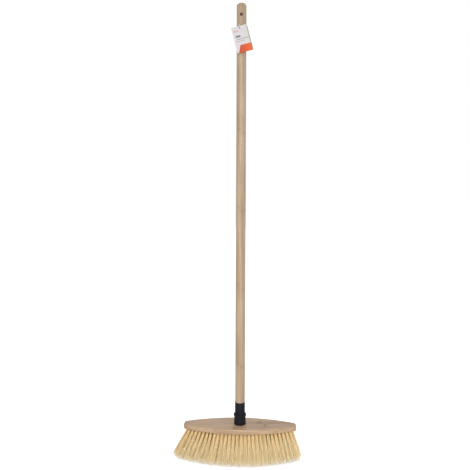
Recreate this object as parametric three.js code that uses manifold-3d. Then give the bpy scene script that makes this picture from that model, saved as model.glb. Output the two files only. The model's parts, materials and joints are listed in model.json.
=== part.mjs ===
// A push broom with a bamboo block and a bamboo handle, in millimetres, +Z up.
//
// The origin is on the handle's axis at the level of the bristle tips. X runs along the block, and -Y is
// the front, where the hang tag is. The handle screws into a black plastic socket by a threaded plastic tip.

import * as THREE from 'three';
import { mergeVertices } from 'three/addons/utils/BufferGeometryUtils.js';
import Module from 'manifold-3d';

const wasm = await Module();
wasm.setup();

// ---- driving dimensions ----

const GAP = 0.3; // between pieces that touch
const CUTTER_OVERRUN = 1; // how far a cutter passes a face it opens
const WELD_DISTANCE = 1e-4; // vertices closer than this are one

const BLOCK = {
  length: 300,
  depth: 82,
  thickness: 13,
  edgeRadius: 390, // the long edges are arcs of this radius
  cornerRadius: 8,
  edgeBevel: 1.5,
  curveSegments: 5,
};

const TUFT = {
  length: 74, // from the block's underside to the tips
  pitch: 9.85, // along a row
  rowPitch: 11, // between the straight inner rows
  edgeInset: 7.2, // from the block's edge to the outer rows
  holeRadius: 2.9,
  holeDepth: 7.5,
  holeSides: 6,
  rootDepth: 7, // how far a tuft reaches into its hole
  rootHalfWidth: 0.9,
  mergeHeight: 46, // neighbours in a row meet below this height
  rootThickness: 2, // across the row
  tipThickness: 9,
  leanAlong: 0.13, // degrees of outward lean for each millimetre from the middle, along X
  leanAcross: 0.47, // the same, along Y
};

const SOCKET = {
  height: 32,
  footRadius: 15.8,
  bodyRadius: 15.3,
  ringRadius: 16.8,
  ringHeight: 5,
  ringRounding: 1.6,
  neckRadius: 13.5, // above the ring, flush with the collar
  neckHeight: 4.5,
  spigotRadius: 12,
  spigotDepth: 3,
  floorThickness: 2, // above the block's top face
  boreRadius: 11.2,
  mouthChamfer: 0.8,
  segments: 24,
};

const THREAD = {
  pitch: 5,
  coreRadius: 8.7, // the male core
  crestRadius: 10.6, // the male crest
  innerRadius: 9.4, // the female crest
  wideFlank: 2.2,
  narrowFlank: 1.4,
  rooting: 0.6, // how far a ridge is sunk into the wall that carries it
  studLength: 25,
  maleTurns: 4.4,
  femaleTurns: 4.8,
  femaleStart: 93.5,
  stepsPerTurn: 12,
};

const TIP = {
  collarHeight: 26,
  collarRadius: 13.5,
  cupRadius: 11.3,
  cupFloor: 2.2,
  chamfer: 0.5,
  studChamfer: 1.2,
};

const HANDLE = {
  radius: 13,
  spigotRadius: 11,
  top: 1213,
  domeHeight: 7,
  domeSteps: 5,
  segments: 24,
  holeRadius: 4.5,
  holeBelowTop: 34,
  holeSides: 16,
};

const PIN = { radius: 1, headRadius: 1.8, headThickness: 0.8, length: 9, sides: 8, aboveCollarFoot: 14 };

const SCREW = {
  x: 4.9,
  y: 4.4,
  shankRadius: 1.7,
  headRadius: 3.2,
  headTopRadius: 2.7,
  headThickness: 2.1,
  length: 11,
  pointLength: 3,
  holeRadius: 2.1,
  sides: 12,
};

const TAG = {
  width: 43,
  height: 70,
  thickness: 0.8,
  cornerRadius: 1.5,
  eyeletBelowTop: 5.3,
  eyeletRadius: 1.8,
  eyeletSides: 12,
  eyelet: new THREE.Vector3(-5, -16, 1141.2),
  tiltDegrees: 14.5,
  cornerSegments: 2,
};

const LOOP = {
  cordRadius: 0.6,
  cordSides: 6,
  clearance: 0.4, // between the handle and the band round it
  bandSteps: 32,
  ringRadius: 5, // the small ring through the tag's eyelet
  ringSteps: 20,
};

// ---- heights worked out from the driving dimensions ----

const BLOCK_UNDERSIDE = TUFT.length;
const BLOCK_TOP = BLOCK_UNDERSIDE + BLOCK.thickness;
const SOCKET_TOP = BLOCK_TOP + SOCKET.height;
const SOCKET_FLOOR = BLOCK_TOP + SOCKET.floorThickness;
const COLLAR_FOOT = SOCKET_TOP + GAP;
const COLLAR_TOP = COLLAR_FOOT + TIP.collarHeight;
const STUD_FOOT = COLLAR_FOOT - THREAD.studLength;
const CUP_FLOOR = COLLAR_FOOT + TIP.cupFloor;
const HANDLE_HOLE_HEIGHT = HANDLE.top - HANDLE.holeBelowTop;

// ---- helpers: geometry to solids and back ----

function toSolid(geometry) {
  const bare = geometry.clone();
  bare.deleteAttribute('normal');
  bare.deleteAttribute('uv');
  const merged = mergeVertices(bare, WELD_DISTANCE);
  return new wasm.Manifold(
    new wasm.Mesh({
      numProp: 3,
      vertProperties: new Float32Array(merged.attributes.position.array),
      triVerts: new Uint32Array(merged.index.array),
    }),
  );
}

function toGeometry(solid) {
  const mesh = solid.getMesh();
  const geometry = new THREE.BufferGeometry();
  geometry.setAttribute('position', new THREE.BufferAttribute(mesh.vertProperties, mesh.numProp));
  geometry.setIndex(new THREE.BufferAttribute(mesh.triVerts, 1));
  geometry.computeVertexNormals();
  return geometry;
}

function subtractAll(body, cutters) {
  return cutters.reduce((solid, cutter) => solid.subtract(toSolid(cutter)), toSolid(body));
}

// A profile of [radius, height] pairs turned about the Z axis. It runs up the outside.
function turned(profile, segments) {
  const points = profile.map(([radius, height]) => new THREE.Vector2(radius, height));
  return new THREE.LatheGeometry(points, segments).rotateX(Math.PI / 2);
}

// A cylinder that stands on +Z between two heights, on the axis x, y.
function upright(radius, bottom, top, sides, x = 0, y = 0) {
  const geometry = new THREE.CylinderGeometry(radius, radius, top - bottom, sides);
  return geometry.rotateX(Math.PI / 2).translate(x, y, (top + bottom) / 2);
}

// A cylinder that lies along Y between two places.
function alongY(radius, front, back, sides, height) {
  const geometry = new THREE.CylinderGeometry(radius, radius, back - front, sides);
  return geometry.translate(0, (front + back) / 2, height);
}

function mapVertices(geometry, place) {
  const position = geometry.attributes.position;
  const point = new THREE.Vector3();
  for (let i = 0; i < position.count; i += 1) {
    point.fromBufferAttribute(position, i);
    place(point);
    position.setXYZ(i, point.x, point.y, point.z);
  }
  return geometry;
}

// One helical ridge with a four-sided section, which has its own width at its inner and its outer radius.
function helicalRidge({ innerRadius, outerRadius, innerWidth, outerWidth, turns, startHeight }) {
  const steps = Math.round(turns * THREAD.stepsPerTurn);
  const bar = new THREE.BoxGeometry(1, 1, 1, steps, 1, 1);
  return mapVertices(bar, (point) => {
    const turn = turns * (point.x + 0.5);
    const outward = point.z + 0.5;
    const radius = THREE.MathUtils.lerp(innerRadius, outerRadius, outward);
    const width = THREE.MathUtils.lerp(innerWidth, outerWidth, outward);
    const angle = 2 * Math.PI * turn;
    const height = startHeight + THREAD.pitch * turn + width * point.y;
    point.set(radius * Math.cos(angle), radius * Math.sin(angle), height);
  });
}

// ---- the block's outline and the places of its tufts ----

// Half the block's depth at a place along X, on its long arcs.
function halfDepth(x) {
  const centre = BLOCK.edgeRadius - BLOCK.depth / 2;
  return Math.sqrt(BLOCK.edgeRadius ** 2 - x ** 2) - centre;
}

function blockOutline() {
  const arcCentre = BLOCK.edgeRadius - BLOCK.depth / 2;
  const cornerX = BLOCK.length / 2 - BLOCK.cornerRadius;
  const cornerY = Math.sqrt((BLOCK.edgeRadius - BLOCK.cornerRadius) ** 2 - cornerX ** 2) - arcCentre;
  const turn = Math.atan2(cornerY + arcCentre, cornerX);
  const outline = new THREE.Shape();
  outline.moveTo(BLOCK.length / 2, -cornerY);
  outline.lineTo(BLOCK.length / 2, cornerY);
  outline.absarc(cornerX, cornerY, BLOCK.cornerRadius, 0, turn);
  outline.absarc(0, -arcCentre, BLOCK.edgeRadius, turn, Math.PI - turn);
  outline.absarc(-cornerX, cornerY, BLOCK.cornerRadius, Math.PI - turn, Math.PI);
  outline.lineTo(-BLOCK.length / 2, -cornerY);
  outline.absarc(-cornerX, -cornerY, BLOCK.cornerRadius, Math.PI, Math.PI + turn);
  outline.absarc(0, arcCentre, BLOCK.edgeRadius, Math.PI + turn, 2 * Math.PI - turn);
  outline.absarc(cornerX, -cornerY, BLOCK.cornerRadius, 2 * Math.PI - turn, 2 * Math.PI);
  return outline;
}

const edgeRow = (x) => halfDepth(x) - TUFT.edgeInset;

// Each row has its name, its number of tufts and its line y(x). The outer two follow the block's edge.
const ROWS = [
  { name: 'bristle_row_1_front', tufts: 28, line: (x) => -edgeRow(x) },
  { name: 'bristle_row_2', tufts: 13, line: () => -2 * TUFT.rowPitch },
  { name: 'bristle_row_3', tufts: 22, line: () => -TUFT.rowPitch },
  { name: 'bristle_row_4_middle', tufts: 29, line: () => 0 },
  { name: 'bristle_row_5', tufts: 22, line: () => TUFT.rowPitch },
  { name: 'bristle_row_6', tufts: 13, line: () => 2 * TUFT.rowPitch },
  { name: 'bristle_row_7_rear', tufts: 28, line: (x) => edgeRow(x) },
];

function tuftPlaces(row) {
  const places = [];
  for (let i = 0; i < row.tufts; i += 1) {
    const x = (i - (row.tufts - 1) / 2) * TUFT.pitch;
    places.push({ x, y: row.line(x) });
  }
  return places;
}

// How far a tuft has moved outwards for each millimetre below the block's underside.
const slopeAlong = (x) => Math.tan(THREE.MathUtils.degToRad(TUFT.leanAlong * x));
const slopeAcross = (y) => Math.tan(THREE.MathUtils.degToRad(TUFT.leanAcross * y));

// ---- the head ----

// A blind hole drilled on its tuft's lean, from below the underside to its flat end.
function tuftHole({ x, y }) {
  const half = (TUFT.holeDepth + CUTTER_OVERRUN) / 2;
  const geometry = new THREE.CylinderGeometry(TUFT.holeRadius, TUFT.holeRadius, 2 * half, TUFT.holeSides);
  geometry.rotateX(Math.PI / 2).translate(0, 0, half - CUTTER_OVERRUN);
  return mapVertices(geometry, (point) => {
    point.x += x - point.z * slopeAlong(x);
    point.y += y - point.z * slopeAcross(y);
    point.z += BLOCK_UNDERSIDE;
  });
}

function brushBlock() {
  const flat = BLOCK.thickness - 2 * BLOCK.edgeBevel;
  const board = new THREE.ExtrudeGeometry(blockOutline(), {
    depth: flat,
    bevelEnabled: true,
    bevelThickness: BLOCK.edgeBevel,
    bevelSize: BLOCK.edgeBevel,
    bevelOffset: -BLOCK.edgeBevel,
    bevelSegments: 1,
    curveSegments: BLOCK.curveSegments,
  });
  board.translate(0, 0, BLOCK_UNDERSIDE + BLOCK.edgeBevel);
  const recessFloor = BLOCK_TOP - SOCKET.spigotDepth - GAP;
  const recessMouth = BLOCK_TOP + CUTTER_OVERRUN;
  const recess = upright(SOCKET.spigotRadius + GAP, recessFloor, recessMouth, SOCKET.segments);
  const screwEnd = SOCKET_FLOOR - SCREW.length;
  const pilots = screwPlaces().map(({ x, y }) =>
    upright(SCREW.shankRadius + GAP, screwEnd, BLOCK_TOP, SCREW.sides, x, y),
  );
  const holes = ROWS.flatMap((row) => tuftPlaces(row).map(tuftHole));
  return toGeometry(subtractAll(board, [recess, ...pilots, ...holes]));
}

// One row of tufts as a comb: a tooth in each hole, and the splayed fibres as one skirt below. The box has
// three columns for each tuft, at the notch before it and at its root's two sides, and one at the row's end.
function bristleRow(row) {
  const places = tuftPlaces(row);
  const columns = 3 * places.length;
  const rootTop = BLOCK_UNDERSIDE + TUFT.rootDepth;
  const bar = new THREE.BoxGeometry(1, 1, 1, columns, 1, 1);
  return mapVertices(bar, (point) => {
    const column = Math.round((point.x + 0.5) * columns);
    const place = places[Math.min(Math.floor(column / 3), places.length - 1)];
    const side = column === columns ? 3 : column % 3;
    const isNotch = side === 0 || side === 3;
    const isTop = point.z > 0;
    const spread = TUFT.pitch * (side / 3 - 0.5);
    const rootSide = side === 1 ? -TUFT.rootHalfWidth : TUFT.rootHalfWidth;
    const x = place.x + (isTop && !isNotch ? rootSide : spread);
    const topHeight = isNotch ? TUFT.mergeHeight : rootTop;
    const height = isTop ? topHeight : 0;
    const fall = BLOCK_UNDERSIDE - height;
    const line = row.line(isNotch ? x : place.x);
    const down = (rootTop - height) / rootTop;
    const thickness = THREE.MathUtils.lerp(TUFT.rootThickness, TUFT.tipThickness, down);
    const acrossRow = thickness * point.y;
    point.x = x + fall * slopeAlong(isNotch ? x : place.x);
    point.y = line + fall * slopeAcross(line) + acrossRow;
    point.z = height;
  });
}

function threadSocket() {
  const spigotFoot = BLOCK_TOP - SOCKET.spigotDepth;
  const foot = BLOCK_TOP + GAP;
  const ringTop = SOCKET_TOP - SOCKET.neckHeight;
  const ringFoot = ringTop - SOCKET.ringHeight;
  const shell = turned(
    [
      [0, spigotFoot],
      [SOCKET.spigotRadius, spigotFoot],
      [SOCKET.spigotRadius, foot],
      [SOCKET.footRadius, foot],
      [SOCKET.bodyRadius, ringFoot - SOCKET.ringRounding],
      [SOCKET.ringRadius, ringFoot],
      [SOCKET.ringRadius, ringTop - SOCKET.ringRounding],
      [SOCKET.ringRadius - SOCKET.ringRounding, ringTop],
      [SOCKET.neckRadius, ringTop],
      [SOCKET.neckRadius, SOCKET_TOP],
      [SOCKET.boreRadius + SOCKET.mouthChamfer, SOCKET_TOP],
      [SOCKET.boreRadius, SOCKET_TOP - SOCKET.mouthChamfer],
      [SOCKET.boreRadius, SOCKET_FLOOR],
      [0, SOCKET_FLOOR],
    ],
    SOCKET.segments,
  );
  const ridge = helicalRidge({
    innerRadius: THREAD.innerRadius,
    outerRadius: SOCKET.boreRadius + THREAD.rooting,
    innerWidth: THREAD.narrowFlank,
    outerWidth: THREAD.wideFlank,
    turns: THREAD.femaleTurns,
    startHeight: THREAD.femaleStart,
  });
  const threaded = toSolid(shell).add(toSolid(ridge));
  const holes = screwPlaces().map(({ x, y }) =>
    upright(SCREW.holeRadius, spigotFoot - CUTTER_OVERRUN, SOCKET_FLOOR + CUTTER_OVERRUN, SCREW.sides, x, y),
  );
  return toGeometry(holes.reduce((solid, hole) => solid.subtract(toSolid(hole)), threaded));
}

function screwPlaces() {
  return [
    { x: SCREW.x, y: SCREW.y },
    { x: -SCREW.x, y: -SCREW.y },
  ];
}

// A pan-head wood screw down through the socket's floor, at its own place.
function socketScrew({ x, y }) {
  const seat = SOCKET_FLOOR + GAP;
  const screw = turned(
    [
      [0, seat - SCREW.length],
      [SCREW.shankRadius, seat - SCREW.length + SCREW.pointLength],
      [SCREW.shankRadius, seat],
      [SCREW.headRadius, seat],
      [SCREW.headTopRadius, seat + SCREW.headThickness],
      [0, seat + SCREW.headThickness],
    ],
    SCREW.sides,
  );
  return screw.translate(x, y, 0);
}

// ---- the handle ----

// The hole for the pin, from inside the rod out through the back of the collar.
function pinHole(front) {
  const back = TIP.collarRadius + CUTTER_OVERRUN;
  return alongY(PIN.radius + GAP, front, back, PIN.sides, COLLAR_FOOT + PIN.aboveCollarFoot);
}

function handleTip() {
  const cup = turned(
    [
      [0, STUD_FOOT],
      [THREAD.coreRadius - TIP.studChamfer, STUD_FOOT],
      [THREAD.coreRadius, STUD_FOOT + TIP.studChamfer],
      [THREAD.coreRadius, COLLAR_FOOT],
      [TIP.collarRadius - TIP.chamfer, COLLAR_FOOT],
      [TIP.collarRadius, COLLAR_FOOT + TIP.chamfer],
      [TIP.collarRadius, COLLAR_TOP - TIP.chamfer],
      [TIP.collarRadius - TIP.chamfer, COLLAR_TOP],
      [TIP.cupRadius, COLLAR_TOP],
      [TIP.cupRadius, CUP_FLOOR],
      [0, CUP_FLOOR],
    ],
    HANDLE.segments,
  );
  // The male turns lie midway between the female ones.
  const ridge = helicalRidge({
    innerRadius: THREAD.coreRadius - THREAD.rooting,
    outerRadius: THREAD.crestRadius,
    innerWidth: THREAD.wideFlank,
    outerWidth: THREAD.narrowFlank,
    turns: THREAD.maleTurns,
    startHeight: THREAD.femaleStart + THREAD.pitch / 2,
  });
  const threaded = toSolid(cup).add(toSolid(ridge));
  return toGeometry(threaded.subtract(toSolid(pinHole(0))));
}

function handleRod() {
  const profile = [
    [0, CUP_FLOOR + GAP],
    [HANDLE.spigotRadius, CUP_FLOOR + GAP],
    [HANDLE.spigotRadius, COLLAR_TOP + GAP],
    [HANDLE.radius, COLLAR_TOP + GAP],
  ];
  const domeFoot = HANDLE.top - HANDLE.domeHeight;
  for (let i = 0; i < HANDLE.domeSteps; i += 1) {
    const angle = ((Math.PI / 2) * i) / HANDLE.domeSteps;
    profile.push([HANDLE.radius * Math.cos(angle), domeFoot + HANDLE.domeHeight * Math.sin(angle)]);
  }
  profile.push([0, HANDLE.top]);
  const rod = turned(profile, HANDLE.segments);
  const reach = HANDLE.radius + CUTTER_OVERRUN;
  const hangingHole = alongY(HANDLE.holeRadius, -reach, reach, HANDLE.holeSides, HANDLE_HOLE_HEIGHT);
  const pinSeat = pinHole(TIP.collarRadius - PIN.length - GAP);
  return toGeometry(subtractAll(rod, [hangingHole, pinSeat]));
}

// A nail driven in from the back, which keeps the tip on the rod.
function tipPin() {
  const pin = turned(
    [
      [0, 0],
      [PIN.radius, 0],
      [PIN.radius, PIN.length + GAP],
      [PIN.headRadius, PIN.length + GAP],
      [PIN.headRadius, PIN.length + GAP + PIN.headThickness],
      [0, PIN.length + GAP + PIN.headThickness],
    ],
    PIN.sides,
  );
  pin.rotateX(-Math.PI / 2);
  return pin.translate(0, TIP.collarRadius - PIN.length, COLLAR_FOOT + PIN.aboveCollarFoot);
}

// ---- the hang tag and its loop ----

function hangTag() {
  const card = new THREE.Shape();
  const { width, height, cornerRadius: r } = TAG;
  const top = TAG.eyeletBelowTop;
  const bottom = top - height;
  const right = width / 2;
  card.moveTo(right, bottom + r);
  card.absarc(right - r, top - r, r, 0, Math.PI / 2);
  card.absarc(-right + r, top - r, r, Math.PI / 2, Math.PI);
  card.absarc(-right + r, bottom + r, r, Math.PI, 1.5 * Math.PI);
  card.absarc(right - r, bottom + r, r, 1.5 * Math.PI, 2 * Math.PI);
  const eyelet = new THREE.Path();
  for (let i = 0; i < TAG.eyeletSides; i += 1) {
    const angle = (-2 * Math.PI * i) / TAG.eyeletSides;
    const place = [TAG.eyeletRadius * Math.cos(angle), TAG.eyeletRadius * Math.sin(angle)];
    if (i === 0) {
      eyelet.moveTo(...place);
    } else {
      eyelet.lineTo(...place);
    }
  }
  card.holes.push(eyelet);
  const sheet = new THREE.ExtrudeGeometry(card, {
    depth: TAG.thickness,
    bevelEnabled: false,
    curveSegments: TAG.cornerSegments,
  });
  return sheet.rotateX(Math.PI / 2).translate(0, TAG.thickness / 2, 0);
}

// A snug elastic band round the handle, made in one with the small ring through the tag's eyelet.
function tagLoop() {
  const bandRadius = HANDLE.radius + LOOP.clearance + LOOP.cordRadius;
  const band = new THREE.TorusGeometry(bandRadius, LOOP.cordRadius, LOOP.cordSides, LOOP.bandSteps);
  band.translate(0, 0, TAG.eyelet.z + LOOP.ringRadius);
  const bandFront = -Math.sqrt(bandRadius ** 2 - TAG.eyelet.x ** 2);
  const ring = new THREE.TorusGeometry(LOOP.ringRadius, LOOP.cordRadius, LOOP.cordSides, LOOP.ringSteps);
  ring.rotateY(Math.PI / 2);
  const ringCentre = bandFront - LOOP.ringRadius + LOOP.clearance;
  ring.translate(TAG.eyelet.x, ringCentre, TAG.eyelet.z + LOOP.ringRadius);
  return toGeometry(toSolid(band).add(toSolid(ring)));
}

// ---- materials ----

function material(color, roughness, metalness = 0) {
  return new THREE.MeshStandardMaterial({ color, roughness, metalness });
}

const blockBamboo = () => material(0xc6a782, 0.45);
const handleBamboo = () => material(0xc5ae8e, 0.4);
const fibre = () => material(0xd5be93, 0.85);
const blackPlastic = () => material(0x282a30, 0.4);
const zincSteel = () => material(0xb8bcc0, 0.35, 1);
const whiteCard = () => material(0xf2f0ea, 0.7);
const clearElastic = () => material(0xe8e6e0, 0.5);

// ---- the assembly ----

function piece(name, geometry, surface) {
  const mesh = new THREE.Mesh(geometry, surface);
  mesh.name = name;
  return mesh;
}

function brushHead() {
  const head = new THREE.Group();
  head.add(piece('brush_block', brushBlock(), blockBamboo()));
  head.add(piece('thread_socket', threadSocket(), blackPlastic()));
  screwPlaces().forEach((place, i) => {
    head.add(piece(`socket_screw_${i + 1}`, socketScrew(place), zincSteel()));
  });
  ROWS.forEach((row) => head.add(piece(row.name, bristleRow(row), fibre())));
  return head;
}

function handleAssembly() {
  const handle = new THREE.Group();
  handle.add(piece('handle', handleRod(), handleBamboo()));
  handle.add(piece('handle_tip', handleTip(), blackPlastic()));
  handle.add(piece('tip_pin', tipPin(), zincSteel()));
  return handle;
}

function tagAssembly() {
  const tag = new THREE.Group();
  tag.position.copy(TAG.eyelet);
  tag.rotation.y = -THREE.MathUtils.degToRad(TAG.tiltDegrees);
  tag.add(piece('hang_tag', hangTag(), whiteCard()));
  return tag;
}

const pushBroom = new THREE.Group();
pushBroom.add(brushHead());
pushBroom.add(handleAssembly());
pushBroom.add(piece('tag_loop', tagLoop(), clearElastic()));
pushBroom.add(tagAssembly());

export default pushBroom;
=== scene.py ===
# %% [markdown]
# # A bamboo push broom
#
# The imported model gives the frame: every size and place below is read from it, or is a small driving value
# of this broom in metres. The broom stands on its bristles, with X along the block and -Y towards the
# viewer. The frame also holds the bodies that the pieces ride on: the head, the handle, the tag's band and
# the tag.

# %% Load the frame
import json
import math

import bmesh
import bpy
import numpy as np
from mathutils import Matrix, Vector
from mathutils.geometry import delaunay_2d_cdt


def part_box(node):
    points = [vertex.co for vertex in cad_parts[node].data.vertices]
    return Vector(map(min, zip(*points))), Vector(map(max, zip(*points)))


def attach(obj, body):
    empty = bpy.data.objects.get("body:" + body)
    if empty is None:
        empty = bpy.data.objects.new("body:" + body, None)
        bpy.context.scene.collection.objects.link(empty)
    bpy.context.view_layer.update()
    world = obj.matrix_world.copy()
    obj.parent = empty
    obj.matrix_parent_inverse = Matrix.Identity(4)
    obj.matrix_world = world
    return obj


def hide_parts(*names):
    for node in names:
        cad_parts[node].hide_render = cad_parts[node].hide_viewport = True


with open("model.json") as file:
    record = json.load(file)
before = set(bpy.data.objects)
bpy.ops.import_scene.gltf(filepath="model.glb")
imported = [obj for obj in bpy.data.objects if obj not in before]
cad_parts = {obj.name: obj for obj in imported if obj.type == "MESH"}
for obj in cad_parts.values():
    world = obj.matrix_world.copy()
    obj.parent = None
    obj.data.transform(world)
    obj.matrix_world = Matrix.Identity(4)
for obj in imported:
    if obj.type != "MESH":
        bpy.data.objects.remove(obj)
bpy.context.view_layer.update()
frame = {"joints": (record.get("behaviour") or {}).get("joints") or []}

# %% [markdown]
# ## The camera
#
# The broom is seen from a little to its right, with a level lens at about the middle of its height, so its
# upright handle stays parallel to the picture's sides and its head is looked down on. The lens length
# follows from the height of the piece of world that the picture takes in at the handle. What is left of the
# framing is a small shift, and a quarter of a degree of roll, since no camera stands quite upright.

# %% Make the camera
def add_object(name, data):
    """A new object that holds the data, in the scene."""
    added = bpy.data.objects.new(name, data)
    bpy.context.scene.collection.objects.link(added)
    return added


CAMERA_AZIMUTH = math.radians(2.2)
CAMERA_ROLL = math.radians(-0.24)
CAMERA_DISTANCE = 1.28
CAMERA_HEIGHT = 0.631
PICTURE_HEIGHT = 1.2603
PICTURE_CENTRE = Vector((-0.0154, 0.0, 0.5925))

camera_data = bpy.data.cameras.new("camera")
camera_data.lens = camera_data.sensor_width * CAMERA_DISTANCE / PICTURE_HEIGHT
camera_data.shift_x = PICTURE_CENTRE.x / PICTURE_HEIGHT
camera_data.shift_y = (PICTURE_CENTRE.z - CAMERA_HEIGHT) / PICTURE_HEIGHT
camera = add_object("camera", camera_data)
camera.location = (
    CAMERA_DISTANCE * math.sin(CAMERA_AZIMUTH),
    -CAMERA_DISTANCE * math.cos(CAMERA_AZIMUTH),
    CAMERA_HEIGHT,
)
camera.rotation_euler = (math.pi / 2, CAMERA_ROLL, CAMERA_AZIMUTH)
bpy.context.scene.camera = camera
print("lens, mm:", round(camera_data.lens, 1))

# %% [markdown]
# ## Meshes from arrays
#
# Most pieces here are grids of points. The first helper lists the four corners of every cell of a grid. The
# second writes arrays straight into a mesh, which is much faster than a Python loop when a row of bristles
# has a hundred thousand faces. The others merge points that lie in one place, so that seams and poles are
# closed, keep real edges crisp, lay a flat map on a piece, and make the piece itself.

# %% Grid faces and mesh filling
def grid_faces(rows, columns, close_columns=False):
    """Corners of each cell of a rows x columns grid, with the last column joined to the first on request.

    A cell lists (row, column), (row, column + 1), (row + 1, column + 1), (row + 1, column)."""
    across = columns if close_columns else columns - 1
    row, column = np.meshgrid(np.arange(rows - 1), np.arange(across), indexing="ij")
    following = (column + 1) % columns
    corners = [
        row * columns + column,
        row * columns + following,
        (row + 1) * columns + following,
        (row + 1) * columns + column,
    ]
    return np.stack([corner.ravel() for corner in corners], axis=1)


def fill_mesh(mesh, points, face_sets):
    """Writes points and arrays of faces, each array with its own number of corners, into an empty mesh."""
    counts = np.concatenate([np.full(len(faces), faces.shape[1]) for faces in face_sets])
    corners = np.concatenate([faces.ravel() for faces in face_sets])
    starts = np.concatenate([[0], np.cumsum(counts)[:-1]])
    mesh.vertices.add(len(points))
    mesh.vertices.foreach_set("co", np.asarray(points, np.float32).ravel())
    mesh.loops.add(len(corners))
    mesh.loops.foreach_set("vertex_index", corners.astype(np.int32))
    mesh.polygons.add(len(counts))
    mesh.polygons.foreach_set("loop_start", starts.astype(np.int32))
    mesh.update(calc_edges=True)


# %% Pieces, edges and maps
def edit_mesh(mesh, change):
    """Gives change the mesh in Blender's editable form, and writes the result back."""
    working = bmesh.new()
    working.from_mesh(mesh)
    change(working)
    working.to_mesh(mesh)
    working.free()


def weld_mesh(mesh, distance):
    """Merges points closer than distance metres, and turns all faces outwards."""

    def weld(working):
        bmesh.ops.remove_doubles(working, verts=working.verts, dist=distance)
        bmesh.ops.recalc_face_normals(working, faces=working.faces)

    edit_mesh(mesh, weld)


def sharpen(piece, degrees):
    """Keeps edges sharper than the given angle crisp in a smooth-shaded mesh."""
    limit = math.radians(degrees)

    def mark(working):
        for edge in working.edges:
            edge.smooth = len(edge.link_faces) == 2 and edge.calc_face_angle(0.0) < limit

    edit_mesh(piece.data, mark)


def add_map(piece, name, places):
    """A UV map that gives every corner the flat place of its point."""
    mesh = piece.data
    corner = np.empty(len(mesh.loops), int)
    mesh.loops.foreach_get("vertex_index", corner)
    flat_map = mesh.uv_layers.new(name=name)
    flat_map.data.foreach_set("uv", places[corner].astype(np.float32).ravel())


def new_piece(name, points, face_sets, material, body, slot, weld=1e-6):
    """Makes an object from arrays, merges points closer than weld metres, and lets it ride on a body."""
    mesh = bpy.data.meshes.new(name)
    fill_mesh(mesh, points, face_sets)
    if weld:
        weld_mesh(mesh, weld)
    mesh.polygons.foreach_set("use_smooth", np.ones(len(mesh.polygons), bool))
    mesh.materials.append(material)
    piece = add_object(name, mesh)
    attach(piece, body)
    print(f"{name}: {len(mesh.vertices)} points, {len(mesh.polygons)} faces")
    return piece


# %% [markdown]
# ## Turned shapes
#
# The rod, the plastic socket and tip, the screws and the nail are all turned: a profile of radius against
# height, carried round the Z axis. A sharp corner in a smooth-shaded profile looks soft and smeared, so
# each real corner is a short rounding of a few points, as on the moulded or sanded original.

# %% Profiles and turned grids
def even_angles(count):
    """Angles at even steps round a full turn, without the last one, which is the first again."""
    return np.arange(count) / count * 2 * math.pi


def rounded_profile(corners, steps=4):
    """The radii and heights of a profile given as (radius, height, rounding) corners.

    A rounding of r starts r before the corner and ends r after it. Its points lie on the quadratic curve
    between those two ends that is pulled towards the corner."""
    places = np.array([corner[:2] for corner in corners], float)
    pieces = [places[:1]]
    for before, here, after, (_, _, rounding) in zip(places[:-2], places[1:-1], places[2:], corners[1:-1]):
        if rounding == 0:
            pieces.append(here[None])
            continue
        start = here + (before - here) / np.linalg.norm(before - here) * rounding
        end = here + (after - here) / np.linalg.norm(after - here) * rounding
        t = np.linspace(0, 1, steps + 1)[:, None]
        pieces.append((1 - t) ** 2 * start + 2 * t * (1 - t) * here + t**2 * end)
    pieces.append(places[-1:])
    return np.concatenate(pieces).T


def turned_grid(radius, height, segments):
    """Points at (radius cos a, radius sin a, height), for rows of radius and height and even steps of a.

    radius is one number a row, or one number a row and step, as on a screw thread."""
    angle = even_angles(segments)
    radius = np.broadcast_to(np.asarray(radius, float).reshape(len(height), -1), (len(height), segments))
    x = radius * np.cos(angle)
    y = radius * np.sin(angle)
    z = np.broadcast_to(np.asarray(height, float)[:, None], radius.shape)
    return np.stack([x, y, z], axis=-1).reshape(-1, 3)


def turned_surface(runs, segments):
    """Points and faces of one turned surface, from runs of (radii, heights) that follow one another."""
    points = np.concatenate([turned_grid(radius, height, segments) for radius, height in runs])
    return points, [grid_faces(len(points) // segments, segments, close_columns=True)]


SEGMENTS = 96
THREAD_PITCH = 0.005
THREAD_FADE = 0.001


def thread_radius(height, core, crest, first_ridge, ends):
    """Radius of a threaded wall: core plus the ridge, at each height and angle, for a right-hand thread.

    The place within one pitch is (height - first_ridge) / pitch - angle / a full turn. The ridge is at full
    height within a seventh of a pitch of its middle, and slopes away until two sevenths. It fades over one
    millimetre at both ends of the threaded length."""
    angle = even_angles(SEGMENTS)
    place = (height[:, None] - first_ridge) / THREAD_PITCH - angle[None, :] / (2 * math.pi)
    from_middle = np.abs(place - np.round(place))
    ridge = np.clip((2 / 7 - from_middle) * 7, 0, 1)
    fade = np.clip((height - ends[0]) / THREAD_FADE, 0, 1) * np.clip((ends[1] - height) / THREAD_FADE, 0, 1)
    return core + (crest - core) * ridge * fade[:, None]


# %% [markdown]
# ## Drilled faces
#
# The block's underside has a round hole for each tuft, and the rod has a hole through it to hang it by. A
# face with round holes is a flat triangulation that keeps the holes' rims as edges, with the triangles
# inside the rims left out. The same flat answer can be laid on the block as it is, or wrapped round the
# rod.

# %% Triangulate a face with round holes
def circle(centre, radius, sides):
    """Points at even angles on a circle in the plane, as an array of pairs."""
    angle = even_angles(sides)
    return np.asarray(centre, float) + radius * np.stack([np.cos(angle), np.sin(angle)], axis=1)


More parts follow.
